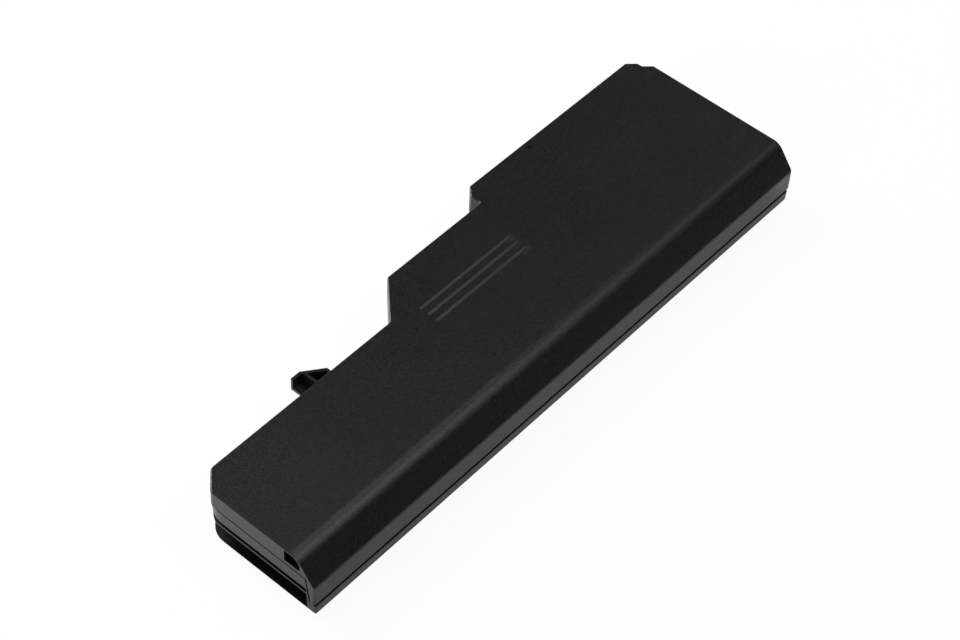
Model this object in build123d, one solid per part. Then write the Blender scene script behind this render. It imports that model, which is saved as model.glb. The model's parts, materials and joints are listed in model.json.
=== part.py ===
"""Laptop battery pack: a moulded cover and case round six cells, their strips and leads, and a circuit board.

The pieces are drawn in case coordinates: x runs from the slotted end, y runs back from the rounded front
edge and z rises from the flat underside. They are saved with the origin under the middle of the pack.
"""

import os
from math import cos, radians, sin, sqrt, tan

from build123d import *

# Cells: two rows, three in line
CELL_RADIUS = 9.175
CELL_LENGTH = 64.8
CELLS_IN_LINE = 3
ROWS = 2
ROW_GAP = 0.15
CELL_PLAY = 0.1
CAN_EDGE = 0.5
BUTTON_RADIUS = 3.0
BUTTON_RISE = 0.8
CRIMP_BELOW = 3.4
CRIMP_WIDTH = 1.2
CRIMP_DEPTH = 0.6
RING_OUTER = 8.2
RING_INNER = 3.6
RING_THICK = 0.2

# Walls of the two shells, and the room they leave round the cells
SKIN = 0.8
WALL = 1.3
FRONT_WALL = 1.5
END_WALL = 1.0
SKIN_GAP = 0.125
SLANT_GAP = 0.133
FRONT_GAP = 2.225
BACK_GAP = 3.425
PAD_THICK = 1.0
PAD_PLAY = 0.05

# Back edge of the outline, from the near end: a cut corner, a slope, a step and the far corner
NEAR_CUT = 5.4
SLOPE_START = 74.0
SLOPE_RISE = 11.7
MIDDLE_RUN = 39.6
STEP_RISE = 6.7
WIDE_CUT = 2.8
FAR_STEP = 4.45
FAR_CUT = 2.5
RIM_CUT = 2.7
PLAN_ROUND = 1.0
COVER_CUT_ROUND = 2.5
CASE_CUT_ROUND = 8.0

# Edges of the two shells, and the lean of the lower one's walls
TOP_ROUND = 0.4
FOOT_ROUND = 1.2
CASE_DRAFT = 2.0

# Rounded front edge of the cover: an upright lip, a slanted face and the turn on to the top
LIP_BOTTOM = 5.0
LIP_LEAN = 2.0
LIP_ROUND = 0.6
FACE_SLANT = 52.4
KNEE_ROUND = 1.5
TURN_ROUND = 5.5
FOOT_SETBACK = 0.1

# Seam between the cover and the case
COVER_WALL = 5.9
SEAM_TURN = 3.05
SEAM_FOOT = 1.6
SEAM_FOOT_RISE = 0.4
SEAM_GAP = 0.5
SEAM_FOOT_GAP = 0.8
SEAM_DEPTH = 1.0
LAP = 0.8
LAP_RISE = 2.0
LAP_ROOT = 2.6
FRONT_LAP = 0.6
FRONT_LAP_RISE = 3.0
LAP_PLAY = 0.1

# Guide slots in the near end, with a rail between them, and the cored pocket above
SLOT_DEPTH = 3.9
SLOT_START = 3.2
SLOT_FLOOR = 0.8
LOWER_SLOT_TOP = 6.15
RAIL = 0.7
RAIL_SETBACK = 0.8
UPPER_SLOT = 2.7
POCKET_START = 5.3
POCKET_WIDTH = 5.4
POCKET_RISE = 1.2
POCKET_SKIN = 0.6
POCKET_ROUND = 2.7

# Bevelled rim round the wide end's back edge
RIM_WIDTH = 2.4
RIM_DROP = 0.6
RIM_NICK_OFF = 26.0
RIM_NICK = 1.2
RIM_NICK_DEPTH = 0.3

# Grip grooves in the top face
GRIP_COUNT = 3
GRIP_OFF = 9.2
GRIP_LENGTH = 38.8
GRIP_INSET = 2.4
GRIP_PITCH = 3.05
GRIP_WIDTH = 2.2
GRIP_DEPTH = 0.4
GRIP_BACK_SLOPE = 0.75
GRIP_FRONT_SLOPE = 0.3
GRIP_RAMP = 3.0
GRIP_PAD_MARGIN = 1.5

# Catch hook on the narrow back wall, open above and towards the near end
HOOK_START = 41.9
HOOK_TIP = 3.5
HOOK_SPAN = 9.6
HOOK_REACH = 6.7
HOOK_ROOT = 2.2
HOOK_DROP = 1.7
HOOK_WALL = 0.9
HOOK_RIB_AT = 3.7
HOOK_EDGE_ROUND = 0.3

# Cradle ribs that hold the cells
CRADLE_THICK = 1.2
CRADLE_RISE = 4.7
CRADLE_INSET = 14.0
CRADLE_BACK_MARGIN = 1.5

# Nickel strips and their tabs
STRIP_THICK = 0.15
STRIP_TALL = 7.0
STRIP_OVERLAP = 4.5
LINK_GAP = 1.0
TAB_OFF = 0.4
TAB_LENGTH = 6.0
TAB_TALL = 2.6
NEGATIVE_TAB_DROP = 2.6

# Leads
POWER_LEAD_RADIUS = 0.6
SENSE_LEAD_RADIUS = 0.45
LEAD_BEND = 2.2

# Protection board, its posts and the wall between it and the cells
BOARD_OFF = 6.3
BOARD_END_GAP = 15.0
BOARD_FRONT_GAP = 0.725
BOARD_BACK_GAP = 1.8
BOARD_THICK = 1.2
POST_RADIUS = 1.5
PIN_RADIUS = 0.7
PIN_PLAY = 0.1
PIN_SINK = 0.2
POST_COUNT = 3
POST_INSET = 11.0
POST_LINE = 1.6
BAY_WALL = 1.0
BAY_WALL_TALL = 8.0
BAY_WALL_OFF = 2.2
BAY_DOOR = 6.0

# Blade connector in the middle back wall
BLADES = 7
BLADE_PITCH = 3.0
CONNECTOR_OFF = 3.0
CONNECTOR_MARGIN = 2.0
CONNECTOR_DEPTH = 7.2
CONNECTOR_TALL = 6.0
CONNECTOR_ROOM = 1.5
CONNECTOR_RECESS = 0.3
CONNECTOR_PLAY = 0.2
BLADE_SLOT = 1.2
BLADE_SLOT_TALL = 4.4
BLADE_SLOT_FLOOR = 0.5
CONTACT_LEAF = 0.2
CONTACT_PLAY = 0.05
CONTACT_SETBACK = 1.0
CONTACT_FOOT = 1.0

# Parts on the board, in their order along it: length, depth and height of each
PARTS_START = 27.0
PARTS_END = 10.2
CHARGE = (5.0, 3.9, 1.4)
DISCHARGE = (5.0, 3.9, 1.4)
PROTECTOR = (4.4, 3.0, 0.9)
GAUGE = (7.8, 4.4, 1.0)
SHUNT = (6.3, 3.2, 0.6)
FUSE = (5.4, 3.2, 1.4)
PARTS = (CHARGE, DISCHARGE, PROTECTOR, GAUGE, SHUNT, FUSE)
PART_LINE = 4.6
PART_BEVEL = 0.2
LEG_SPAN = 0.8
LEG_WIDE = 0.35
LEG_THICK = 0.2
LEG_PITCH = 1.27
STANDOFF = 0.1

# Small chips in rows under the board
CHIP_LENGTH = 1.6
CHIP_DEPTH = 0.8
CHIP_TALL = 0.7
CHIP_PITCH = 2.6
CHIP_MARGIN = 0.8
CAPACITORS = 6
RESISTORS = 5
CHIPS_START = 40.0
CHIP_ROW_GAP = 4.0

# Thermistor bead that lies against a cell
BEAD_RADIUS = 0.9
BEAD_LENGTH = 4.0
BEAD_OFF = 25.0
BEAD_LEAD_RADIUS = 0.3
BEAD_LEAD_RUN = 6.5

# Places along the case, worked out from the near end
CELL_BAY_START = SLOT_DEPTH + END_WALL
FIRST_CELL = CELL_BAY_START + PAD_PLAY + PAD_THICK + STRIP_THICK
CELL_STEP = CELL_LENGTH + LINK_GAP
LAST_BUTTON = FIRST_CELL + (CELLS_IN_LINE - 1) * CELL_STEP + CELL_LENGTH
CELL_BAY_END = LAST_BUTTON + STRIP_THICK + PAD_THICK + PAD_PLAY
LENGTH = CELL_BAY_END + WALL
SLOPE_END = SLOPE_START + SLOPE_RISE
WIDE_START = SLOPE_END + MIDDLE_RUN
RIM_NICK_AT = WIDE_START + RIM_NICK_OFF
GRIP_START = SLOPE_START + GRIP_OFF
BOARD_START = SLOPE_END + BOARD_OFF
BOARD_END = LENGTH - BOARD_END_GAP
BOARD_LENGTH = BOARD_END - BOARD_START
CONNECTOR_START = BOARD_START + CONNECTOR_OFF
CONNECTOR_LENGTH = (BLADES - 1) * BLADE_PITCH + 2 * CONNECTOR_MARGIN + BLADE_SLOT
BEAD_AT = BOARD_START + BEAD_OFF
CAPACITOR_START = BOARD_START + CHIPS_START
RESISTOR_START = CAPACITOR_START + CAPACITORS * CHIP_PITCH + CHIP_ROW_GAP

# Heights, worked out from the underside
AXIS_HEIGHT = SKIN + SKIN_GAP + CELL_RADIUS
HEIGHT = 2 * AXIS_HEIGHT
CAVITY_TOP = HEIGHT - SKIN
SEAM_HEIGHT = HEIGHT - COVER_WALL
SEAM_FOOT_HEIGHT = LIP_BOTTOM + SEAM_FOOT_RISE
UPPER_SLOT_FLOOR = LOWER_SLOT_TOP + RAIL
UPPER_SLOT_TOP = UPPER_SLOT_FLOOR + UPPER_SLOT
POCKET_FLOOR = SEAM_HEIGHT + POCKET_RISE
HOOK_BOTTOM = SEAM_HEIGHT
HOOK_TALL = HEIGHT - HOOK_DROP - HOOK_BOTTOM
STRIP_BOTTOM = AXIS_HEIGHT - STRIP_TALL / 2
BOARD_TOP = SEAM_HEIGHT - CONNECTOR_ROOM - CONNECTOR_TALL
BOARD_BOTTOM = BOARD_TOP - BOARD_THICK

# Depths, worked out from the front edge
FRONT_ROW = FRONT_GAP + CELL_RADIUS
ROW_PITCH = 2 * CELL_RADIUS + ROW_GAP
BACK_ROW = FRONT_ROW + (ROWS - 1) * ROW_PITCH
CELLS_BACK = BACK_ROW + CELL_RADIUS
NARROW_DEPTH = CELLS_BACK + BACK_GAP
MIDDLE_DEPTH = NARROW_DEPTH + SLOPE_RISE
WIDE_DEPTH = MIDDLE_DEPTH + STEP_RISE
RIM_FOOT = WIDE_DEPTH - FAR_STEP
BEYOND = WIDE_DEPTH + HEIGHT
SLANT_REACH = CELL_RADIUS + SLANT_GAP + SKIN - AXIS_HEIGHT * cos(radians(FACE_SLANT))
TURN_DEPTH = FRONT_ROW - SLANT_REACH / sin(radians(FACE_SLANT))
GRIP_BACK = NARROW_DEPTH - GRIP_INSET
TAB_FACE = CELLS_BACK + TAB_OFF
TAB_BACK = TAB_FACE + STRIP_THICK
POWER_LINE = TAB_BACK + POWER_LEAD_RADIUS
SENSE_LINE = TAB_BACK + SENSE_LEAD_RADIUS
BAY_WALL_FRONT = CELLS_BACK + BAY_WALL_OFF
BOARD_FRONT = BAY_WALL_FRONT + BAY_WALL + BOARD_FRONT_GAP
BOARD_BACK = MIDDLE_DEPTH - BOARD_BACK_GAP
CONNECTOR_BACK = MIDDLE_DEPTH - CONNECTOR_RECESS
CONNECTOR_FRONT = CONNECTOR_BACK - CONNECTOR_DEPTH


def cell_start(place):
    """Where the cells at a place along the row begin."""
    return FIRST_CELL + place * CELL_STEP


def row_line(row):
    """Distance of a row's axis from the front edge."""
    return FRONT_ROW + row * ROW_PITCH


def block(x, y, z):
    """Box between two values along each axis."""
    size = [high - low for low, high in (x, y, z)]
    return Pos(x[0], y[0], z[0]) * Box(*size, align=(Align.MIN, Align.MIN, Align.MIN))


def rod(x, y, bottom, top, radius):
    """Upright round bar."""
    return Pos(x, y, bottom) * Cylinder(radius, top - bottom, align=(Align.CENTER, Align.CENTER, Align.MIN))


def rounded_at(face, point, radius):
    """Face with its corner nearest a point rounded."""
    return fillet(face.vertices().sort_by_distance(point)[0], radius)


def along_case(section, start=0.0, end=LENGTH):
    """Bar with a cross-section drawn in y and z, from one place along the case to another."""
    return Pos(start, 0, 0) * extrude(Plane.YZ * section, amount=end - start)


def plan(front=0.0, cut_round=COVER_CUT_ROUND):
    """Outline of the pack from above, with the slope and the step along its back edge."""
    cut = [(NEAR_CUT, NARROW_DEPTH), (0, NARROW_DEPTH - NEAR_CUT)]
    face = make_face(
        Polyline(
            (0, front),
            (LENGTH, front),
            (LENGTH, RIM_FOOT - FAR_CUT),
            (LENGTH - FAR_CUT, RIM_FOOT),
            (LENGTH - FAR_CUT, WIDE_DEPTH - RIM_CUT),
            (LENGTH - FAR_CUT - RIM_CUT, WIDE_DEPTH),
            (WIDE_START + WIDE_CUT, WIDE_DEPTH),
            (WIDE_START, WIDE_DEPTH - WIDE_CUT),
            (WIDE_START, MIDDLE_DEPTH),
            (SLOPE_END, MIDDLE_DEPTH),
            (SLOPE_START, NARROW_DEPTH),
            *cut,
            close=True,
        )
    )
    cut_corners = [face.vertices().sort_by_distance(point)[0] for point in cut]
    face = fillet([corner for corner in face.vertices() if corner not in cut_corners], PLAN_ROUND)
    for point in cut:
        face = rounded_at(face, point, cut_round)
    return face


def inner_plan(inset):
    """Outline drawn in by a wall."""
    return offset(plan(), -inset, kind=Kind.INTERSECTION)


def face_line(height, inset=0.0):
    """Distance from the front edge to the slanted front face at a height, set in by a wall."""
    slant = radians(FACE_SLANT)
    return TURN_DEPTH + inset / sin(slant) - (HEIGHT - height) / tan(slant)


def face_height(depth, inset):
    """Height of the slanted front face at a distance from the front edge, set in by a wall."""
    return HEIGHT - (face_line(HEIGHT, inset) - depth) * tan(radians(FACE_SLANT))


def knee():
    """Corner where the upright lip would meet the slanted front face."""
    lean = tan(radians(LIP_LEAN))
    rise = 1 / tan(radians(FACE_SLANT))
    height = (HEIGHT * rise - TURN_DEPTH - lean * LIP_BOTTOM) / (rise - lean)
    return (lean * (height - LIP_BOTTOM), height)


def cover_section():
    """Cross-section of the cover's outside: lip, slanted face, top, and the seam below."""
    lip = (0, LIP_BOTTOM)
    turn = (TURN_DEPTH, HEIGHT)
    face = make_face(
        Polyline(
            lip,
            knee(),
            turn,
            (BEYOND, HEIGHT),
            (BEYOND, SEAM_HEIGHT),
            (SEAM_TURN, SEAM_HEIGHT),
            (SEAM_FOOT, SEAM_FOOT_HEIGHT),
            close=True,
        )
    )
    face = rounded_at(face, turn, TURN_ROUND)
    face = rounded_at(face, knee(), KNEE_ROUND)
    return rounded_at(face, lip, LIP_ROUND)


def case_section():
    """Cross-section of the lower case's outside, up to the seam."""
    return make_face(
        Polyline(
            (0, 0),
            (BEYOND, 0),
            (BEYOND, SEAM_HEIGHT),
            (SEAM_TURN, SEAM_HEIGHT),
            (SEAM_FOOT, SEAM_FOOT_HEIGHT),
            (0, LIP_BOTTOM),
            close=True,
        )
    )


def cavity():
    """Space inside both shells, behind the front wall and under the skin."""
    turn = face_line(CAVITY_TOP, SKIN)
    section = make_face(
        Polyline(
            (FRONT_WALL, SKIN),
            (FRONT_WALL, face_height(FRONT_WALL, SKIN)),
            (turn, CAVITY_TOP),
            (BEYOND, CAVITY_TOP),
            (BEYOND, SKIN),
            close=True,
        )
    )
    section = rounded_at(section, (turn, CAVITY_TOP), TURN_ROUND - SKIN)
    return extrude(inner_plan(WALL), HEIGHT) & along_case(section, CELL_BAY_START, CELL_BAY_END)


def cradles(bottom, top):
    """Ribs across the case, hollowed to the cells."""
    profile = make_face(
        Polyline(
            (FRONT_WALL, bottom),
            (CELLS_BACK - CRADLE_BACK_MARGIN, bottom),
            (CELLS_BACK - CRADLE_BACK_MARGIN, top),
            (FRONT_WALL, top),
            close=True,
        )
    )
    for row in range(ROWS):
        profile -= Pos(row_line(row), AXIS_HEIGHT) * Circle(CELL_RADIUS + CELL_PLAY)
    ribs = Part()
    for place in range(CELLS_IN_LINE):
        for inset in (CRADLE_INSET, CELL_LENGTH - CRADLE_INSET):
            middle = cell_start(place) + inset
            ribs += along_case(profile, middle - CRADLE_THICK / 2, middle + CRADLE_THICK / 2)
    return ribs & cavity()


def end_room(bottom):
    """Hollow behind the near end face, above the guide slots."""
    return block(
        (WALL, CELL_BAY_START + WALL),
        (POCKET_START + POCKET_WIDTH + WALL, NARROW_DEPTH - NEAR_CUT - WALL),
        (bottom, CAVITY_TOP),
    )


def grip_grooves():
    """Grooves for a finger, each with a long back slope, a short front one and a ramp at its end."""
    floor = HEIGHT - GRIP_DEPTH
    grooves = Part()
    for number in range(GRIP_COUNT):
        back = GRIP_BACK - number * GRIP_PITCH
        front = back - GRIP_WIDTH
        section = make_face(
            Polyline(
                (back, HEIGHT),
                (back - GRIP_BACK_SLOPE, floor),
                (front + GRIP_FRONT_SLOPE, floor),
                (front, HEIGHT),
                close=True,
            )
        )
        side = make_face(
            Polyline(
                (GRIP_START, HEIGHT),
                (GRIP_START + GRIP_DEPTH, floor),
                (GRIP_START + GRIP_LENGTH - GRIP_RAMP, floor),
                (GRIP_START + GRIP_LENGTH, HEIGHT),
                close=True,
            )
        )
        length = Pos(0, back, 0) * extrude(Plane.XZ * side, amount=GRIP_WIDTH)
        grooves += along_case(section, GRIP_START, GRIP_START + GRIP_LENGTH) & length
    return grooves


def grip_pad():
    """Thicker skin under the grip grooves."""
    back = GRIP_BACK + GRIP_PAD_MARGIN
    reach = GRIP_BACK - (GRIP_COUNT - 1) * GRIP_PITCH - GRIP_WIDTH
    clear = CELL_RADIUS + CELL_PLAY
    pad = block(
        (GRIP_START - GRIP_PAD_MARGIN, GRIP_START + GRIP_LENGTH + GRIP_PAD_MARGIN),
        (reach, min(back, NARROW_DEPTH)),
        (CAVITY_TOP - GRIP_DEPTH, CAVITY_TOP),
    )
    cells = along_case(Pos(BACK_ROW, AXIS_HEIGHT) * Circle(clear), CELL_BAY_START, CELL_BAY_END)
    return pad - cells


def rim_bevel():
    """Wedges that bevel the wide end's top edge, round its back and both its cut corners."""
    line = [
        (WIDE_START, MIDDLE_DEPTH),
        (WIDE_START, WIDE_DEPTH - WIDE_CUT),
        (WIDE_START + WIDE_CUT, WIDE_DEPTH),
        (LENGTH - FAR_CUT - RIM_CUT, WIDE_DEPTH),
        (LENGTH - FAR_CUT, WIDE_DEPTH - RIM_CUT),
    ]
    wedges = Part()
    for start, end in zip(line, line[1:]):
        run = Vector(*end) - Vector(*start)
        across = Plane(origin=(*start, 0), x_dir=(run.Y, -run.X, 0), z_dir=(run.X, run.Y, 0))
        wedge = make_face(
            Polyline(
                (-RIM_WIDTH, HEIGHT - RIM_DROP * 2),
                (0, HEIGHT - RIM_DROP),
                (RIM_WIDTH, HEIGHT),
                (-RIM_WIDTH, HEIGHT),
                close=True,
            )
        )
        wedges += extrude(across * wedge, amount=run.length)
    nick = block(
        (RIM_NICK_AT, RIM_NICK_AT + RIM_NICK),
        (WIDE_DEPTH - RIM_WIDTH - RIM_NICK / 2, WIDE_DEPTH - RIM_WIDTH + RIM_NICK / 2),
        (HEIGHT - RIM_NICK_DEPTH, HEIGHT),
    )
    return wedges + nick


def catch_hook():
    """Hook for the computer's latch: a tip wall, a slanted wall, one rib and a floor."""
    end = HOOK_START + HOOK_SPAN
    tip = NARROW_DEPTH + HOOK_REACH
    outline = make_face(
        Polyline(
            (HOOK_START, NARROW_DEPTH - WALL),
            (HOOK_START, tip),
            (HOOK_START + HOOK_TIP, tip),
            (end, NARROW_DEPTH + HOOK_ROOT),
            (end, NARROW_DEPTH - WALL),
            close=True,
        )
    )
    hollow = make_face(
        Polyline(
            (HOOK_START - HOOK_SPAN, NARROW_DEPTH),
            (HOOK_START - HOOK_SPAN, tip - HOOK_WALL),
            (HOOK_START + HOOK_TIP - HOOK_WALL / 2, tip - HOOK_WALL),
            (end - HOOK_WALL, NARROW_DEPTH + HOOK_ROOT - HOOK_WALL / 2),
            (end - HOOK_WALL, NARROW_DEPTH),
            close=True,
        )
    )
    rib = block(
        (HOOK_START + HOOK_RIB_AT, HOOK_START + HOOK_RIB_AT + HOOK_WALL),
        (NARROW_DEPTH, tip),
        (HOOK_BOTTOM, HOOK_BOTTOM + HOOK_TALL),
    )
    body = Pos(0, 0, HOOK_BOTTOM) * extrude(outline, HOOK_TALL)
    pocket = Pos(0, 0, HOOK_BOTTOM + HOOK_WALL) * extrude(hollow, HOOK_TALL)
    hook = body - (pocket - rib)
    upright = hook.edges().filter_by(Axis.Z)
    full = [edge for edge in upright if edge.length > HOOK_TALL - HOOK_WALL]
    return fillet([edge for edge in full if edge.center().Y > NARROW_DEPTH], HOOK_EDGE_ROUND)


def end_pocket():
    """Cored pocket in the cover's near end, under the rounded front edge."""
    end = POCKET_START + POCKET_WIDTH
    roof = HEIGHT - POCKET_SKIN
    turn = (face_line(roof, POCKET_SKIN), roof)
    outline = make_face(
        Polyline(
            (POCKET_START, POCKET_FLOOR),
            (end, POCKET_FLOOR),
            (end, roof),
            turn,
            (POCKET_START, face_height(POCKET_START, POCKET_SKIN)),
            close=True,
        )
    )
    outline = rounded_at(outline, turn, POCKET_ROUND)
    return along_case(outline, -WALL, SLOT_DEPTH)


def seam_groove():
    """Shut line round the outside of the seam, taken from the lower case."""
    band = make_face(
        Polyline(
            (-WALL, LIP_BOTTOM),
            (0, LIP_BOTTOM),
            (SEAM_FOOT, SEAM_FOOT_HEIGHT),
            (SEAM_TURN, SEAM_HEIGHT),
            (BEYOND, SEAM_HEIGHT),
            (BEYOND, SEAM_HEIGHT - SEAM_GAP),
            (SEAM_TURN + SEAM_GAP, SEAM_HEIGHT - SEAM_GAP),
            (SEAM_FOOT + SEAM_FOOT_GAP, SEAM_FOOT_HEIGHT - SEAM_FOOT_GAP),
            (0, LIP_BOTTOM - SEAM_FOOT_GAP),
            (-WALL, LIP_BOTTOM - SEAM_FOOT_GAP),
            close=True,
        )
    )
    return along_case(band) - extrude(inner_plan(SEAM_DEPTH), HEIGHT)


def outer_cover():
    """Upper shell: the textured top, the rounded front edge, the grip and the catch hook."""
    prism = extrude(plan(), HEIGHT)
    top = prism.faces().sort_by(Axis.Z)[-1]
    prism = fillet(top.edges(), TOP_ROUND)
    shell = prism & along_case(cover_section())
    shell -= cavity()
    shell -= end_room(SEAM_HEIGHT)
    shell += grip_pad()
    shell += cradles(CAVITY_TOP - CRADLE_RISE, CAVITY_TOP)
    shell += catch_hook()
    return shell - grip_grooves() - rim_bevel() - end_pocket()


def lap_tongue():
    """Tongue on the lower case that stands inside the cover's back wall."""
    outer = inner_plan(WALL)
    inner = inner_plan(WALL + LAP_PLAY + LAP)
    root = Pos(0, 0, SEAM_HEIGHT - LAP_ROOT) * extrude(outer - inner, LAP_ROOT)
    tongue = Pos(0, 0, SEAM_HEIGHT) * extrude(inner_plan(WALL + LAP_PLAY) - inner, LAP_RISE)
    reach = block(
        (NEAR_CUT + CELL_BAY_START, LENGTH - FAR_CUT - RIM_CUT - WALL),
        (CELLS_BACK, BEYOND),
        (0, HEIGHT),
    )
    front = block(
        (CELL_BAY_START + LAP_PLAY, CELL_BAY_END - LAP_PLAY),
        (FRONT_WALL + LAP_PLAY, FRONT_WALL + LAP_PLAY + FRONT_LAP),
        (SKIN, LIP_BOTTOM + FRONT_LAP_RISE),
    )
    front += block(
        (CELL_BAY_START + LAP_PLAY, CELL_BAY_END - LAP_PLAY),
        (FRONT_WALL, FRONT_WALL + LAP_PLAY),
        (SKIN, LIP_BOTTOM - SEAM_FOOT_GAP),
    )
    return ((root + tongue) & reach) + front


def post_places():
    """Where the board's posts stand."""
    step = (BOARD_LENGTH - 2 * POST_INSET) / (POST_COUNT - 1)
    first = BOARD_START + POST_INSET
    return [(first + number * step, BOARD_FRONT + POST_LINE) for number in range(POST_COUNT)]


def board_seat():
    """Posts with locating pins, and the wall between the board and the cells."""
    seat = Part()
    for x, y in post_places():
        seat += rod(x, y, SKIN, BOARD_BOTTOM, POST_RADIUS)
        seat += rod(x, y, BOARD_BOTTOM, BOARD_TOP - PIN_SINK, PIN_RADIUS)
    wall = block(
        (BOARD_START, BOARD_END),
        (BAY_WALL_FRONT, BAY_WALL_FRONT + BAY_WALL),
        (SKIN, SKIN + BAY_WALL_TALL),
    )
    for middle in (thermistor_turn(), sense_turn(1)):
        wall -= block((middle - BAY_DOOR / 2, middle + BAY_DOOR / 2), (0, BEYOND), (BOARD_BOTTOM, HEIGHT))
    return seat + wall


def connector_window():
    """Window for the connector in the middle back wall."""
    return block(
        (CONNECTOR_START - CONNECTOR_PLAY, CONNECTOR_START + CONNECTOR_LENGTH + CONNECTOR_PLAY),
        (MIDDLE_DEPTH - WALL * 2, MIDDLE_DEPTH + WALL),
        (BOARD_TOP - CONNECTOR_PLAY, BOARD_TOP + CONNECTOR_TALL + CONNECTOR_PLAY),
    )


def inner_case():
    """Lower shell, narrowed towards its flat underside, with the slots, the cradles and the board's seat."""
    front = FOOT_SETBACK - (SEAM_HEIGHT - LIP_BOTTOM) * tan(radians(CASE_DRAFT))
    prism = Pos(0, 0, SEAM_HEIGHT) * extrude(plan(front, CASE_CUT_ROUND), -SEAM_HEIGHT, taper=CASE_DRAFT)
    bottom = prism.faces().sort_by(Axis.Z)[0]
    prism = fillet(bottom.edges(), FOOT_ROUND)
    shell = prism & along_case(case_section())
    shell -= cavity()
    shell -= end_room(UPPER_SLOT_TOP + WALL)
    for floor, top in ((SLOT_FLOOR, LOWER_SLOT_TOP), (UPPER_SLOT_FLOOR, UPPER_SLOT_TOP)):
        shell -= block((-WALL, SLOT_DEPTH), (SLOT_START, BEYOND), (floor, top))
    shell -= block((-WALL, RAIL_SETBACK), (SLOT_START, BEYOND), (SLOT_FLOOR, UPPER_SLOT_TOP))
    shell -= seam_groove()
    shell += cradles(SKIN, SKIN + CRADLE_RISE)
    shell += lap_tongue()
    shell += board_seat()
    return shell - connector_window()


def cell():
    """One cell along x: a can with a crimped neck and a raised button."""
    can_end = CELL_LENGTH - BUTTON_RISE
    crimp = can_end - CRIMP_BELOW
    neck = CELL_RADIUS - CRIMP_DEPTH
    half = make_face(
        Polyline(
            (0, 0),
            (0, CELL_RADIUS - CAN_EDGE),
            (CAN_EDGE, CELL_RADIUS),
            (crimp, CELL_RADIUS),
            (crimp + CRIMP_WIDTH / 2, neck),
            (crimp + CRIMP_WIDTH, CELL_RADIUS),
            (can_end - CAN_EDGE, CELL_RADIUS),
            (can_end, CELL_RADIUS - CAN_EDGE),
            (can_end, BUTTON_RADIUS),
            (CELL_LENGTH, BUTTON_RADIUS),
            (CELL_LENGTH, 0),
            close=True,
        )
    )
    return revolve(half, Axis.X)


def cells():
    """The six cells, row by row, with every button towards the far end."""
    placed = []
    for row in range(ROWS):
        for place in range(CELLS_IN_LINE):
            placed.append(Pos(cell_start(place), row_line(row), AXIS_HEIGHT) * cell())
    return placed


def insulator_rings():
    """Paper rings on the cells' positive ends, round the buttons."""
    rings = Part()
    for row in range(ROWS):
        for place in range(CELLS_IN_LINE):
            end = cell_start(place) + CELL_LENGTH - BUTTON_RISE
            ring = Circle(RING_OUTER) - Circle(RING_INNER)
            rings += Pos(0, row_line(row), AXIS_HEIGHT) * along_case(ring, end, end + RING_THICK)
    return rings


def strip_plate(start):
    """Flat of a strip, across both rows' ends."""
    return block(
        (start, start + STRIP_THICK),
        (FRONT_ROW - STRIP_OVERLAP, TAB_BACK),
        (STRIP_BOTTOM, STRIP_BOTTOM + STRIP_TALL),
    )


def strip_tab(start, end, drop=0.0):
    """Tab of a strip, bent along the back of the cells."""
    return block((start, end), (TAB_FACE, TAB_BACK), (STRIP_BOTTOM - drop, STRIP_BOTTOM + TAB_TALL))


def negative_strip():
    """Strip on the near cells' flat ends, with a tab that reaches down to the lead."""
    start = FIRST_CELL - STRIP_THICK
    return strip_plate(start) + strip_tab(start, start + TAB_LENGTH, NEGATIVE_TAB_DROP)


def link_strip(place):
    """Folded strip from the buttons of one pair to the flat ends of the next."""
    start = cell_start(place) + CELL_LENGTH
    end = start + LINK_GAP
    return strip_plate(start) + strip_plate(end - STRIP_THICK) + strip_tab(start, start + TAB_LENGTH)


def positive_strip():
    """Strip on the far cells' buttons."""
    end = LAST_BUTTON + STRIP_THICK
    return strip_plate(LAST_BUTTON) + strip_tab(end - TAB_LENGTH, end)


def end_pad(start):
    """Foam pad between the strip and the end wall."""
    return block(
        (start, start + PAD_THICK),
        (FRONT_ROW - STRIP_OVERLAP, BACK_ROW + STRIP_OVERLAP),
        (STRIP_BOTTOM, STRIP_BOTTOM + STRIP_TALL),
    )


def lead(route, height, radius):
    """Insulated lead along a route at one height."""
    path = FilletPolyline(*[(x, y, height) for x, y in route], radius=LEAD_BEND)
    return sweep(Plane(origin=path @ 0, z_dir=path % 0) * Circle(radius), path=path)


def negative_lead():
    """Lead from the negative strip, under the link's tab, to the underside of the board."""
    turn = BOARD_START - POST_RADIUS - LEAD_BEND
    height = BOARD_BOTTOM - POWER_LEAD_RADIUS
    landing = BOARD_FRONT + PART_LINE + POST_RADIUS
    end = BOARD_START + TAB_LENGTH
    route = [(FIRST_CELL + STRIP_THICK, POWER_LINE), (turn, POWER_LINE), (turn, landing), (end, landing)]
    return lead(route, height, POWER_LEAD_RADIUS)


def positive_lead():
    """Lead from the positive strip to the far end of the board."""
    start = LAST_BUTTON - STRIP_THICK
    end = BOARD_END - TAB_LENGTH
    turn = BOARD_END + LEAD_BEND
    landing = BOARD_BACK - PART_LINE
    route = [(start, POWER_LINE), (turn, POWER_LINE), (turn, landing), (end, landing)]
    return lead(route, BOARD_TOP + POWER_LEAD_RADIUS, POWER_LEAD_RADIUS)


def sense_turn(place):
    """Where a sense lead turns away from its link strip."""
    return cell_start(place) + CELL_LENGTH + LINK_GAP + TAB_LENGTH + LEAD_BEND


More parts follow.
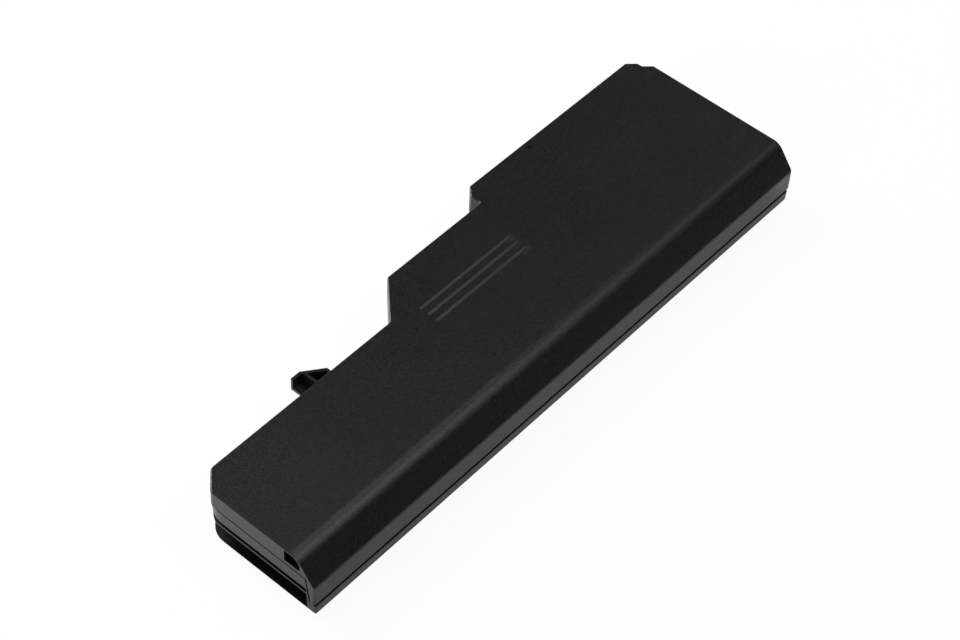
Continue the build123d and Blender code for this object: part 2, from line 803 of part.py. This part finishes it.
def sense_lead_1():
    """Lead from the first link strip to the near end of the board."""
    turn = BOARD_START - POST_RADIUS - LEAD_BEND
    landing = BOARD_FRONT + POST_LINE + LEAD_BEND
    start = cell_start(0) + CELL_LENGTH + LINK_GAP
    route = [(start, SENSE_LINE), (turn, SENSE_LINE), (turn, landing), (BOARD_START + CONTACT_FOOT, landing)]
    return lead(route, BOARD_TOP + SENSE_LEAD_RADIUS, SENSE_LEAD_RADIUS)


def sense_lead_2():
    """Lead from the second link strip, through the wall's door, on to the board."""
    start = cell_start(1) + CELL_LENGTH + LINK_GAP
    route = [(start, SENSE_LINE), (sense_turn(1), SENSE_LINE), (sense_turn(1), BOARD_FRONT + CONTACT_FOOT)]
    return lead(route, BOARD_TOP + SENSE_LEAD_RADIUS, SENSE_LEAD_RADIUS)


def protection_board():
    """Circuit board, with holes for the pins of its posts."""
    board = block((BOARD_START, BOARD_END), (BOARD_FRONT, BOARD_BACK), (BOARD_BOTTOM, BOARD_TOP))
    for x, y in post_places():
        board -= rod(x, y, BOARD_BOTTOM, BOARD_TOP, PIN_RADIUS + PIN_PLAY)
    return board


def blade_places():
    """Middle of each blade slot along the connector."""
    first = CONNECTOR_START + CONNECTOR_MARGIN + BLADE_SLOT / 2
    return [first + number * BLADE_PITCH for number in range(BLADES)]


def connector_housing():
    """Connector body on the board, with one upright slot for each blade."""
    body = block(
        (CONNECTOR_START, CONNECTOR_START + CONNECTOR_LENGTH),
        (CONNECTOR_FRONT, CONNECTOR_BACK),
        (BOARD_TOP, BOARD_TOP + CONNECTOR_TALL),
    )
    floor = BOARD_TOP + BLADE_SLOT_FLOOR
    for middle in blade_places():
        body -= block(
            (middle - BLADE_SLOT / 2, middle + BLADE_SLOT / 2),
            (CONNECTOR_FRONT, CONNECTOR_BACK),
            (floor, floor + BLADE_SLOT_TALL),
        )
    return body


def connector_contacts():
    """Fork contacts in the slots, each with a foot on the board."""
    floor = BOARD_TOP + BLADE_SLOT_FLOOR
    half = BLADE_SLOT / 2 - CONTACT_PLAY
    front = CONNECTOR_FRONT - CONTACT_FOOT
    contacts = Part()
    for middle in blade_places():
        wide = (middle - half, middle + half)
        base = block(wide, (front, CONNECTOR_BACK - CONTACT_SETBACK), (floor, floor + CONTACT_LEAF))
        foot = block(wide, (front, CONNECTOR_FRONT - CONTACT_PLAY), (BOARD_TOP, floor))
        contact = base + foot
        for low, high in ((-half, CONTACT_LEAF - half), (half - CONTACT_LEAF, half)):
            contact += block(
                (middle + low, middle + high),
                (CONNECTOR_FRONT + CONTACT_SETBACK, CONNECTOR_BACK - CONTACT_SETBACK),
                (floor, floor + BLADE_SLOT_TALL - CONTACT_PLAY),
            )
        contacts += contact
    return contacts


def part_place(number):
    """Where a part starts along the board, with the same gap after each of them."""
    lengths = [part[0] for part in PARTS]
    gap = (BOARD_LENGTH - PARTS_START - PARTS_END - sum(lengths)) / (len(PARTS) - 1)
    return BOARD_START + PARTS_START + sum(lengths[:number]) + number * gap


def legged(number):
    """Chip with a row of bent legs along both long sides."""
    length, depth, tall = PARTS[number]
    x = part_place(number)
    y = BOARD_FRONT + PART_LINE
    bottom = BOARD_TOP + STANDOFF
    chip = block((x, x + length), (y - depth / 2, y + depth / 2), (bottom, bottom + tall))
    count = int((length - LEG_WIDE) / LEG_PITCH) + 1
    first = x + (length - (count - 1) * LEG_PITCH) / 2
    for leg in range(count):
        middle = first + leg * LEG_PITCH
        wide = (middle - LEG_WIDE / 2, middle + LEG_WIDE / 2)
        for side in (-1, 1):
            near = y + side * depth / 2
            far = y + side * (depth / 2 + LEG_SPAN)
            bend = y + side * (depth / 2 + LEG_THICK)
            chip += block(wide, sorted((near, far)), (BOARD_TOP, BOARD_TOP + LEG_THICK))
            chip += block(wide, sorted((near, bend)), (BOARD_TOP, bottom + tall / 2))
    return chip


def flat_part(number):
    """Plain part that lies flat on the board, with its ends bevelled."""
    length, depth, tall = PARTS[number]
    x = part_place(number)
    y = BOARD_FRONT + PART_LINE
    part = block((x, x + length), (y - depth / 2, y + depth / 2), (BOARD_TOP, BOARD_TOP + tall))
    return chamfer(part.faces().sort_by(Axis.Z)[-1].edges(), PART_BEVEL)


def chip_row(start, count):
    """Row of small chip parts under the board, along its back edge."""
    back = BOARD_BACK - CHIP_MARGIN
    bottom = BOARD_BOTTOM - CHIP_TALL
    chips = Part()
    for number in range(count):
        x = start + number * CHIP_PITCH
        chips += block((x, x + CHIP_LENGTH), (back - CHIP_DEPTH, back), (bottom, BOARD_BOTTOM))
    return chips


def thermistor_turn():
    """Where the thermistor's leads turn towards the board."""
    return BEAD_AT + BEAD_LENGTH + BEAD_LEAD_RUN


def thermistor():
    """Bead beside the back row of cells, with its leads to the board."""
    height = BOARD_TOP + BEAD_LEAD_RADIUS
    reach = CELL_RADIUS + CELL_PLAY + BEAD_RADIUS
    line = BACK_ROW + sqrt(reach**2 - (AXIS_HEIGHT - height) ** 2)
    bead = along_case(Pos(line, height) * Circle(BEAD_RADIUS), BEAD_AT, BEAD_AT + BEAD_LENGTH)
    bead = fillet(bead.edges(), BEAD_RADIUS / 2)
    turn = thermistor_turn()
    route = [(BEAD_AT + BEAD_LENGTH / 2, line), (turn, line), (turn, BOARD_FRONT + CONTACT_FOOT)]
    return bead + lead(route, height, BEAD_LEAD_RADIUS)


def save(name, shape):
    """Write a piece with the origin under the middle of the pack."""
    export_step(Pos(-LENGTH / 2, -WIDE_DEPTH / 2, 0) * shape, f"parts/{name}.step")


os.makedirs("parts", exist_ok=True)
save("outer_cover", outer_cover())
save("inner_case", inner_case())
for number, piece in enumerate(cells(), start=1):
    save(f"cell_{number}", piece)
save("insulator_rings", insulator_rings())
save("negative_strip", negative_strip())
save("link_strip_1", link_strip(0))
save("link_strip_2", link_strip(1))
save("positive_strip", positive_strip())
save("near_pad", end_pad(CELL_BAY_START + PAD_PLAY))
save("far_pad", end_pad(CELL_BAY_END - PAD_PLAY - PAD_THICK))
save("negative_lead", negative_lead())
save("positive_lead", positive_lead())
save("sense_lead_1", sense_lead_1())
save("sense_lead_2", sense_lead_2())
save("protection_board", protection_board())
save("connector_housing", connector_housing())
save("connector_contacts", connector_contacts())
save("charge_transistor", legged(0))
save("discharge_transistor", legged(1))
save("protector_chip", legged(2))
save("gauge_chip", legged(3))
save("sense_resistor", flat_part(4))
save("chemical_fuse", flat_part(5))
save("chip_capacitors", chip_row(CAPACITOR_START, CAPACITORS))
save("chip_resistors", chip_row(RESISTOR_START, RESISTORS))
save("thermistor", thermistor())
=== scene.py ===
"""Looks, light and camera for a removable laptop battery pack."""

import json
import math

import bpy
from mathutils import Matrix, Vector

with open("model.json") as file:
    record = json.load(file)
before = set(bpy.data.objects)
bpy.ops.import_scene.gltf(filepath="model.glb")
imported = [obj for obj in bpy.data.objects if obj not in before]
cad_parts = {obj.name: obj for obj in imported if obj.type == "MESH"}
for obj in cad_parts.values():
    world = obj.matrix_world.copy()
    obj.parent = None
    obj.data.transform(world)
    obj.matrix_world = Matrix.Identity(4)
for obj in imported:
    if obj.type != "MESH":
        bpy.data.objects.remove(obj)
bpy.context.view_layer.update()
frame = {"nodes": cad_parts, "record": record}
nodes = frame["nodes"]

MM = 0.001

# The wave texture turns through this many radians per unit of its scale
WAVE_RADIANS = 20


def linear(code):
    """Linear colour of an sRGB hex value."""
    parts = [int(code[i:i + 2], 16) / 255 for i in (0, 2, 4)]
    return tuple([p / 12.92 if p <= 0.04045 else ((p + 0.055) / 1.055) ** 2.4 for p in parts] + [1.0])


def add(tree, kind, settings=None, **links):
    """Adds a node with its settings, and links sockets or sets values on its inputs."""
    made = tree.nodes.new(kind)
    for key, value in (settings or {}).items():
        setattr(made, key, value)
    for key, value in links.items():
        name = int(key[1:]) if key[0] == "_" and key[1:].isdigit() else key.replace("_", " ")
        if isinstance(value, bpy.types.NodeSocket):
            tree.links.new(value, made.inputs[name])
        else:
            made.inputs[name].default_value = value
    return made


def per_mm(size):
    """Texture scale whose features are about this many millimetres across."""
    return 1.0 / (size * MM)


def new_material(name):
    """Empty node material and its tree."""
    material = bpy.data.materials.new(name)
    material.use_nodes = True
    material.node_tree.nodes.clear()
    return material, material.node_tree


def close(material, tree, shader):
    """Joins the shader to the material's output."""
    add(tree, "ShaderNodeOutputMaterial", Surface=shader.outputs[0])
    return material


# Black ABS, injection moulded against a spark-eroded steel: dull, with a fine even sand of tiny pits
# that breaks the highlight into specks and spreads it wide.
def spark_textured_abs():
    material, tree = new_material("black_abs_spark_textured")
    place = add(tree, "ShaderNodeTexCoord").outputs["Object"]
    # The real pits are about 0.12 mm across; they are drawn at 0.6 mm so that they show
    pits = add(tree, "ShaderNodeTexNoise", Vector=place, Scale=per_mm(0.6), Detail=3.0, Roughness=0.6)
    patches = add(tree, "ShaderNodeTexNoise", Vector=place, Scale=per_mm(30.0), Detail=2.0)
    grain = add(tree, "ShaderNodeValToRGB", Fac=pits.outputs["Fac"])
    grain.color_ramp.elements[0].position = 0.42
    grain.color_ramp.elements[0].color = linear("0d0d0e")
    grain.color_ramp.elements[1].position = 0.66
    grain.color_ramp.elements[1].color = linear("1a1a1b")
    rough = add(tree, "ShaderNodeMapRange", Value=patches.outputs["Fac"], To_Min=0.27, To_Max=0.33)
    bump = add(tree, "ShaderNodeBump", Height=pits.outputs["Fac"], Strength=0.8, Distance=0.1 * MM)
    shader = add(tree, "ShaderNodeBsdfPrincipled", Base_Color=grain.outputs["Color"],
                 Roughness=rough.outputs["Result"], IOR=1.42, Normal=bump.outputs["Normal"])
    return close(material, tree, shader)


# Black ABS of the lower shell, moulded against a finer stoned steel: a little smoother than the cover
def stoned_abs():
    material, tree = new_material("black_abs_fine_moulded")
    place = add(tree, "ShaderNodeTexCoord").outputs["Object"]
    # The real texture is about 0.06 mm; it is drawn at 0.35 mm so that it shows
    pits = add(tree, "ShaderNodeTexNoise", Vector=place, Scale=per_mm(0.35), Detail=3.0, Roughness=0.55)
    flow = add(tree, "ShaderNodeTexNoise", Vector=place, Scale=per_mm(18.0), Detail=2.0)
    tone = add(tree, "ShaderNodeValToRGB", Fac=flow.outputs["Fac"])
    tone.color_ramp.elements[0].color = linear("111112")
    tone.color_ramp.elements[1].color = linear("141415")
    rough = add(tree, "ShaderNodeMapRange", Value=flow.outputs["Fac"], To_Min=0.30, To_Max=0.36)
    bump = add(tree, "ShaderNodeBump", Height=pits.outputs["Fac"], Strength=0.25, Distance=0.02 * MM)
    shader = add(tree, "ShaderNodeBsdfPrincipled", Base_Color=tone.outputs["Color"],
                 Roughness=rough.outputs["Result"], IOR=1.42, Normal=bump.outputs["Normal"])
    return close(material, tree, shader)


# Shrunk PVC sleeve over a steel can: satin gloss, with faint tight ripples where it shrank round the can
def shrunk_sleeve():
    material, tree = new_material("pvc_shrunk_sleeve")
    place = add(tree, "ShaderNodeTexCoord").outputs["Object"]
    stretch = add(tree, "ShaderNodeMapping", Vector=place, Scale=(0.15, 1.0, 1.0))
    ripple = add(tree, "ShaderNodeTexNoise", Vector=stretch.outputs["Vector"], Scale=per_mm(3.0), Detail=2.0)
    tone = add(tree, "ShaderNodeValToRGB", Fac=ripple.outputs["Fac"])
    tone.color_ramp.elements[0].color = linear("3a8a92")
    tone.color_ramp.elements[1].color = linear("469aa0")
    bump = add(tree, "ShaderNodeBump", Height=ripple.outputs["Fac"], Strength=0.2, Distance=0.05 * MM)
    shader = add(tree, "ShaderNodeBsdfPrincipled", Base_Color=tone.outputs["Color"], Roughness=0.3,
                 IOR=1.54, Normal=bump.outputs["Normal"])
    return close(material, tree, shader)


# Pressed insulating paper: matt, with short fibres lying every way
def pressed_paper():
    material, tree = new_material("pressed_fibre_paper")
    place = add(tree, "ShaderNodeTexCoord").outputs["Object"]
    fibres = add(tree, "ShaderNodeTexNoise", Vector=place, Scale=per_mm(0.4), Detail=4.0, Distortion=1.2)
    tone = add(tree, "ShaderNodeValToRGB", Fac=fibres.outputs["Fac"])
    tone.color_ramp.elements[0].color = linear("d2caba")
    tone.color_ramp.elements[1].color = linear("e2dccd")
    bump = add(tree, "ShaderNodeBump", Height=fibres.outputs["Fac"], Strength=0.3, Distance=0.03 * MM)
    shader = add(tree, "ShaderNodeBsdfPrincipled", Base_Color=tone.outputs["Color"], Roughness=0.85,
                 IOR=1.5, Normal=bump.outputs["Normal"])
    return close(material, tree, shader)


# Rolled nickel strip: bright grey metal with fine lines along the rolling direction
def rolled_nickel():
    material, tree = new_material("nickel_rolled_strip")
    place = add(tree, "ShaderNodeTexCoord").outputs["Object"]
    stretch = add(tree, "ShaderNodeMapping", Vector=place, Scale=(1.0, 0.04, 1.0))
    lines = add(tree, "ShaderNodeTexNoise", Vector=stretch.outputs["Vector"], Scale=per_mm(0.3), Detail=3.0)
    rough = add(tree, "ShaderNodeMapRange", Value=lines.outputs["Fac"], To_Min=0.22, To_Max=0.42)
    tone = add(tree, "ShaderNodeValToRGB", Fac=lines.outputs["Fac"])
    tone.color_ramp.elements[0].color = linear("c4c0b6")
    tone.color_ramp.elements[1].color = linear("d6d2c8")
    shader = add(tree, "ShaderNodeBsdfPrincipled", Base_Color=tone.outputs["Color"], Metallic=1.0,
                 Roughness=rough.outputs["Result"])
    return close(material, tree, shader)


# Closed-cell foam: dull, with small round cells cut open on its faces
def closed_cell_foam():
    material, tree = new_material("polyethylene_foam_cut")
    place = add(tree, "ShaderNodeTexCoord").outputs["Object"]
    cells = add(tree, "ShaderNodeTexVoronoi", Vector=place, Scale=per_mm(0.6))
    tone = add(tree, "ShaderNodeValToRGB", Fac=cells.outputs["Distance"])
    tone.color_ramp.elements[0].color = linear("2c2c2f")
    tone.color_ramp.elements[1].color = linear("434346")
    bump = add(tree, "ShaderNodeBump", Height=cells.outputs["Distance"], Strength=0.5, Distance=0.1 * MM)
    shader = add(tree, "ShaderNodeBsdfPrincipled", Base_Color=tone.outputs["Color"], Roughness=0.9,
                 IOR=1.45, Normal=bump.outputs["Normal"])
    return close(material, tree, shader)


# Extruded silicone insulation: soft satin, with a slight haze of lubricant along the lead
def silicone_insulation(name, dark, light):
    material, tree = new_material(name)
    place = add(tree, "ShaderNodeTexCoord").outputs["Object"]
    haze = add(tree, "ShaderNodeTexNoise", Vector=place, Scale=per_mm(2.0), Detail=3.0)
    tone = add(tree, "ShaderNodeValToRGB", Fac=haze.outputs["Fac"])
    tone.color_ramp.elements[0].color = linear(dark)
    tone.color_ramp.elements[1].color = linear(light)
    rough = add(tree, "ShaderNodeMapRange", Value=haze.outputs["Fac"], To_Min=0.45, To_Max=0.62)
    shader = add(tree, "ShaderNodeBsdfPrincipled", Base_Color=tone.outputs["Color"],
                 Roughness=rough.outputs["Result"], IOR=1.43)
    return close(material, tree, shader)


# Glass laminate under a printed solder mask: glossy green with the weave of the cloth faintly below it
def masked_laminate():
    material, tree = new_material("glass_laminate_solder_masked")
    place = add(tree, "ShaderNodeTexCoord").outputs["Object"]
    # The cloth's threads lie about 0.45 mm apart. One radian of the wave is that long, so they are drawn
    # 2.8 mm apart, which shows.
    thread = per_mm(0.45) / WAVE_RADIANS
    warp = add(tree, "ShaderNodeTexWave", {"bands_direction": "X"}, Vector=place, Scale=thread)
    weft = add(tree, "ShaderNodeTexWave", {"bands_direction": "Y"}, Vector=place, Scale=thread)
    weave = add(tree, "ShaderNodeMath", {"operation": "MULTIPLY"}, _0=warp.outputs["Fac"],
                _1=weft.outputs["Fac"])
    tone = add(tree, "ShaderNodeValToRGB", Fac=weave.outputs["Value"])
    tone.color_ramp.elements[0].color = linear("1b5c38")
    tone.color_ramp.elements[1].color = linear("246b43")
    shader = add(tree, "ShaderNodeBsdfPrincipled", Base_Color=tone.outputs["Color"], Roughness=0.3, IOR=1.52)
    return close(material, tree, shader)


# Glass-filled nylon: dark and dull, with short glass fibres that show as faint streaks
def glass_filled_nylon():
    material, tree = new_material("glass_filled_nylon_moulded")
    place = add(tree, "ShaderNodeTexCoord").outputs["Object"]
    stretch = add(tree, "ShaderNodeMapping", Vector=place, Scale=(0.25, 1.0, 1.0))
    streaks = add(tree, "ShaderNodeTexNoise", Vector=stretch.outputs["Vector"], Scale=per_mm(0.5), Detail=3.0)
    tone = add(tree, "ShaderNodeValToRGB", Fac=streaks.outputs["Fac"])
    tone.color_ramp.elements[0].color = linear("161617")
    tone.color_ramp.elements[1].color = linear("252527")
    rough = add(tree, "ShaderNodeMapRange", Value=streaks.outputs["Fac"], To_Min=0.5, To_Max=0.65)
    shader = add(tree, "ShaderNodeBsdfPrincipled", Base_Color=tone.outputs["Color"],
                 Roughness=rough.outputs["Result"], IOR=1.53)
    return close(material, tree, shader)


# Gold flashed over nickel on stamped phosphor bronze: warm bright metal with faint stamping lines
def gold_plated_bronze():
    material, tree = new_material("phosphor_bronze_gold_plated")
    place = add(tree, "ShaderNodeTexCoord").outputs["Object"]
    stretch = add(tree, "ShaderNodeMapping", Vector=place, Scale=(1.0, 0.1, 1.0))
    lines = add(tree, "ShaderNodeTexNoise", Vector=stretch.outputs["Vector"], Scale=per_mm(0.2), Detail=2.0)
    tone = add(tree, "ShaderNodeValToRGB", Fac=lines.outputs["Fac"])
    tone.color_ramp.elements[0].color = linear("d9b25e")
    tone.color_ramp.elements[1].color = linear("e6c57a")
    rough = add(tree, "ShaderNodeMapRange", Value=lines.outputs["Fac"], To_Min=0.18, To_Max=0.3)
    shader = add(tree, "ShaderNodeBsdfPrincipled", Base_Color=tone.outputs["Color"], Metallic=1.0,
                 Roughness=rough.outputs["Result"])
    return close(material, tree, shader)


# Fine-grained solid with a mottled tone: moulded resin, fired ceramic, dipped bead or bare shunt strip
def mottled(name, dark, light, grain, dullness, ior=1.5, metallic=0.0):
    material, tree = new_material(name)
    place = add(tree, "ShaderNodeTexCoord").outputs["Object"]
    specks = add(tree, "ShaderNodeTexNoise", Vector=place, Scale=per_mm(grain), Detail=4.0, Roughness=0.6)
    tone = add(tree, "ShaderNodeValToRGB", Fac=specks.outputs["Fac"])
    tone.color_ramp.elements[0].color = linear(dark)
    tone.color_ramp.elements[1].color = linear(light)
    low, high = dullness
    rough = add(tree, "ShaderNodeMapRange", Value=specks.outputs["Fac"], To_Min=low, To_Max=high)
    shader = add(tree, "ShaderNodeBsdfPrincipled", Base_Color=tone.outputs["Color"], Metallic=metallic,
                 Roughness=rough.outputs["Result"], IOR=ior)
    return close(material, tree, shader)


finishes = {
    "spark_textured_plastic": spark_textured_abs(),
    "case_plastic": stoned_abs(),
    "cell_sleeve": shrunk_sleeve(),
    "ring_paper": pressed_paper(),
    "nickel": rolled_nickel(),
    "pad_foam": closed_cell_foam(),
    "black_insulation": silicone_insulation("black_silicone_extruded", "1c1c1c", "2a2a2a"),
    "red_insulation": silicone_insulation("red_silicone_extruded", "b02a2a", "c03634"),
    "white_insulation": silicone_insulation("white_silicone_extruded", "d6d6d2", "e4e4e0"),
    "board_laminate": masked_laminate(),
    "connector_plastic": glass_filled_nylon(),
    "contact_metal": gold_plated_bronze(),
    "chip_resin": mottled("epoxy_resin_moulded", "2a2a2c", "343436", grain=0.3, dullness=(0.5, 0.62)),
    "resistor_metal": mottled("manganin_strip_bare", "a8a6a2", "bcbab5", grain=0.25, dullness=(0.3, 0.45),
                              metallic=1.0),
    "fuse_ceramic": mottled("alumina_fired", "d4d0c4", "e2ded4", grain=0.4, dullness=(0.45, 0.6), ior=1.7),
    "capacitor_ceramic": mottled("titanate_ceramic_fired", "a88864", "b89a78", grain=0.2,
                                 dullness=(0.4, 0.55), ior=1.7),
    "resistor_ceramic": mottled("alumina_dark_glazed", "37373a", "424245", grain=0.25,
                                dullness=(0.25, 0.35), ior=1.6),
    "bead_resin": mottled("epoxy_bead_dipped", "303034", "3c3c40", grain=0.5, dullness=(0.15, 0.28)),
}
for row in frame["record"]["subparts"]:
    for slot in nodes[row["node"]].material_slots:
        slot.link = "OBJECT"
        slot.material = finishes[row["material_slot"]]

# Floor: a pale matt sheet that runs past the view. To the eye and in reflections it is partly plain white,
# and it keeps a soft shadow under the pack.
FLOOR = 3.0
FLOOR_WHITE = 0.93
FLOOR_MIRRORED = 0.3
bpy.ops.object.select_all(action="DESELECT")
bpy.ops.mesh.primitive_plane_add(size=FLOOR, location=(0.0, 0.0, 0.0))
floor = bpy.context.object
floor.name = "floor"
sheet, tree = new_material("floor_paper_matt")
fibre = add(tree, "ShaderNodeTexNoise", Vector=add(tree, "ShaderNodeTexCoord").outputs["Object"],
            Scale=per_mm(2.0), Detail=2.0)
pale = add(tree, "ShaderNodeValToRGB", Fac=fibre.outputs["Fac"])
pale.color_ramp.elements[0].color = linear("f4f4f4")
pale.color_ramp.elements[1].color = linear("f6f6f6")
matt = add(tree, "ShaderNodeBsdfDiffuse", Color=pale.outputs["Color"])
white = add(tree, "ShaderNodeEmission", Color=linear("ffffff"), Strength=1.0)
ray = add(tree, "ShaderNodeLightPath")
mirrored = add(tree, "ShaderNodeMath", {"operation": "MAXIMUM"}, _0=ray.outputs["Is Glossy Ray"],
               _1=ray.outputs["Is Transmission Ray"])
mirrored = add(tree, "ShaderNodeMath", {"operation": "MULTIPLY"}, _0=mirrored.outputs[0], _1=FLOOR_MIRRORED)
share = add(tree, "ShaderNodeMath", {"operation": "MULTIPLY_ADD"}, _0=ray.outputs["Is Camera Ray"],
            _1=FLOOR_WHITE, _2=mirrored.outputs[0])
close(sheet, tree, add(tree, "ShaderNodeMixShader", Fac=share.outputs[0], _1=matt.outputs[0],
                       _2=white.outputs[0]))
floor.data.materials.append(sheet)

# Soft lights, in metres: the side of each, and how far it stands from the pack
SOFTBOX_SIDE = 0.5
SOFTBOX_AWAY = 1.5


def softbox(name, round_about, height, power):
    """Square soft light, aimed at the pack from so many degrees round it and so many degrees up."""
    turn = math.radians(round_about)
    rise = math.radians(height)
    away = Vector((math.cos(rise) * math.cos(turn), math.cos(rise) * math.sin(turn), math.sin(rise)))
    lamp = bpy.data.lights.new(name, "AREA")
    lamp.shape = "SQUARE"
    lamp.size = SOFTBOX_SIDE
    lamp.energy = power
    holder = bpy.data.objects.new(name, lamp)
    holder.location = away * SOFTBOX_AWAY
    holder.rotation_euler = away.to_track_quat("Z", "Y").to_euler()
    bpy.context.scene.collection.objects.link(holder)


# Name, degrees round the pack, degrees up, watts
softboxes = (
    ("back", 100, 25, 13.0),
    ("back_high", 90, 40, 15.0),
    ("near_end", 180, 20, 7.0),
    ("overhead", 20, 70, 1.9),
    ("zenith", 0, 85, 1.0),
    ("far_end", 10, 28, 0.8),
    ("far_back", 32, 34, 0.24),
    ("front", -60, 50, 1.0),
    ("front_left", -65, 58, 1.9),
    ("front_high", -50, 66, 1.5),
    ("right", -25, 50, 1.0),
    ("front_low", -60, 35, 0.8),
)
for row in softboxes:
    softbox(*row)

# Room: plain white to the eye past the floor, and nearly dark to the pack, so that its edges stay dark
ROOM_GLOW = 0.002
room = bpy.data.worlds.new("room")
room.use_nodes = True
room.node_tree.nodes.clear()
ray = add(room.node_tree, "ShaderNodeLightPath")
glow = add(room.node_tree, "ShaderNodeMapRange", Value=ray.outputs["Is Camera Ray"], To_Min=ROOM_GLOW,
           To_Max=1.0)
air = add(room.node_tree, "ShaderNodeBackground", Color=linear("ffffff"), Strength=glow.outputs["Result"])
add(room.node_tree, "ShaderNodeOutputWorld", Surface=air.outputs[0])
bpy.context.scene.world = room

# Camera: above the near end, looking along the pack towards its wide end
STAND = Vector((-345.38, -269.21, 510.49)) * MM
RIGHT = Vector((0.657766, -0.751925, 0.044205))
UP = Vector((0.549699, 0.519329, 0.654318))
BACK = Vector((-0.514954, -0.406088, 0.754928))
lens = bpy.data.cameras.new("camera")
lens.sensor_fit = "HORIZONTAL"
lens.sensor_width = 36.0
lens.lens = 88.676
lens.clip_start = 0.01
camera = bpy.data.objects.new("camera", lens)
camera.matrix_world = Matrix((RIGHT, UP, BACK)).transposed().to_4x4()
camera.location = STAND
bpy.context.scene.collection.objects.link(camera)
bpy.context.scene.camera = camera

bpy.context.scene.view_settings.view_transform = "Standard"
